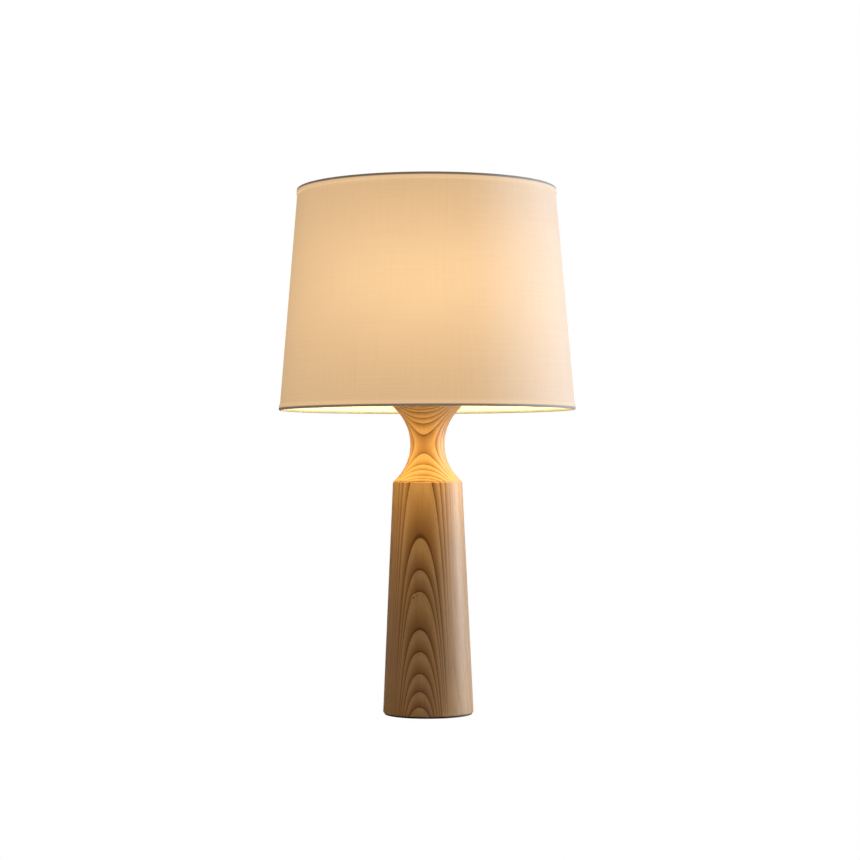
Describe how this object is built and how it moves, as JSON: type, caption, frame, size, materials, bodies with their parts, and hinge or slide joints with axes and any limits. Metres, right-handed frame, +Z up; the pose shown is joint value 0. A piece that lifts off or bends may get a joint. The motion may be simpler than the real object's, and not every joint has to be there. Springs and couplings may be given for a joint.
{
  "type": "column table lamp",
  "caption": "Table lamp with a turned tapered wooden column, an hourglass neck and a tapered fabric drum shade hung on a harp over a screw-in bulb.",
  "frame": {"origin": "on the table under the middle of the foot", "axes": "+Z up the column, +Y to the back where the cord leaves the foot, -Y to the front with the switch knob, harp in the XZ plane"},
  "size_m": [0.3501, 0.35, 0.6188],
  "materials": {
    "turned_ash": "satin oiled",
    "dark_felt": "matte felt",
    "fibre_board": "matte",
    "grey_iron": "rough cast",
    "zinc_steel": "zinc plated",
    "satin_brass": "satin",
    "black_nylon": "matte",
    "black_phenolic": "semi-gloss",
    "black_glass": "gloss",
    "insulating_card": "matte card",
    "solder": "dull",
    "bulb_aluminium": "satin",
    "frosted_glass": "frosted",
    "clear_glass": "clear",
    "filament_wire": "tungsten",
    "white_styrene": "translucent matte",
    "cream_linen": "woven",
    "cream_tape": "woven tape"
  },
  "bodies": {
    "lamp": {"felt_pad": "dark_felt", "base_cover": "fibre_board", "base_cover_screws": "zinc_steel", "ballast_weight": "grey_iron", "lower_washer": "zinc_steel", "lower_nut": "zinc_steel", "lamp_pipe": "zinc_steel", "cord_bushing": "black_nylon", "column": "turned_ash", "neck": "turned_ash", "neck_cap": "satin_brass", "upper_nut": "zinc_steel", "harp_saddle": "satin_brass", "harp": "satin_brass", "socket_cap": "satin_brass", "socket_set_screw": "zinc_steel", "socket_body": "black_phenolic", "terminal_screws": "satin_brass", "socket_liner": "insulating_card", "socket_shell": "satin_brass", "screw_shell": "satin_brass", "center_contact": "satin_brass"},
    "harp_stud": {"harp_stud": "satin_brass"},
    "shade": {"spider": "satin_brass", "shade_top_ring": "zinc_steel", "shade_bottom_ring": "zinc_steel", "shade_liner": "white_styrene", "shade_fabric": "cream_linen", "shade_top_trim": "cream_tape", "shade_bottom_trim": "cream_tape"},
    "finial_insert": {"finial_insert": "satin_brass"},
    "finial": {"finial": "turned_ash"},
    "bulb_contact": {"bulb_contact": "solder"},
    "bulb": {"bulb_insulator": "black_glass", "bulb_cap": "bulb_aluminium", "bulb_globe": "frosted_glass", "bulb_stem": "clear_glass", "bulb_filament": "filament_wire"},
    "switch": {"switch_shaft": "satin_brass", "switch_knob": "black_phenolic"},
    "harp_sleeve_left": {"harp_sleeve_left": "satin_brass"},
    "harp_sleeve_right": {"harp_sleeve_right": "satin_brass"}
  },
  "joints": [
    {"name": "stud_swivel", "type": "hinge", "parent": "lamp", "child": "harp_stud", "pos_m": [0, 0, 0.585], "axis": [0, 0, 1], "continuous": true},
    {"name": "shade_lift", "type": "slide", "parent": "harp_stud", "child": "shade", "axis": [0, 0, 1], "range_m": [0, 0.25]},
    {"name": "finial_lift", "type": "slide", "parent": "shade", "child": "finial_insert", "axis": [0, 0, 1], "range_m": [0, 0.0105]},
    {"name": "finial_turn", "type": "hinge", "parent": "finial_insert", "child": "finial", "pos_m": [0, 0, 0.5885], "axis": [0, 0, 1], "range_deg": [0, 3960]},
    {"name": "bulb_lift", "type": "slide", "parent": "lamp", "child": "bulb_contact", "axis": [0, 0, 1], "range_m": [0, 0.0182]},
    {"name": "bulb_turn", "type": "hinge", "parent": "bulb_contact", "child": "bulb", "pos_m": [0, 0, 0.4102], "axis": [0, 0, 1], "range_deg": [0, 1800]},
    {"name": "switch_turn", "type": "hinge", "parent": "lamp", "child": "switch", "pos_m": [0, -0.017, 0.402], "axis": [0, -1, 0], "continuous": true},
    {"name": "sleeve_left_slide", "type": "slide", "parent": "lamp", "child": "harp_sleeve_left", "axis": [0, 0, 1], "range_m": [0, 0.01]},
    {"name": "sleeve_right_slide", "type": "slide", "parent": "lamp", "child": "harp_sleeve_right", "axis": [0, 0, 1], "range_m": [0, 0.01]}
  ],
  "couplings": [
    {"joint": "finial_lift", "follows": "finial_turn", "m_per_rad": 0.00014972},
    {"joint": "bulb_lift", "follows": "bulb_turn", "m_per_rad": 0.00057757}
  ]
}
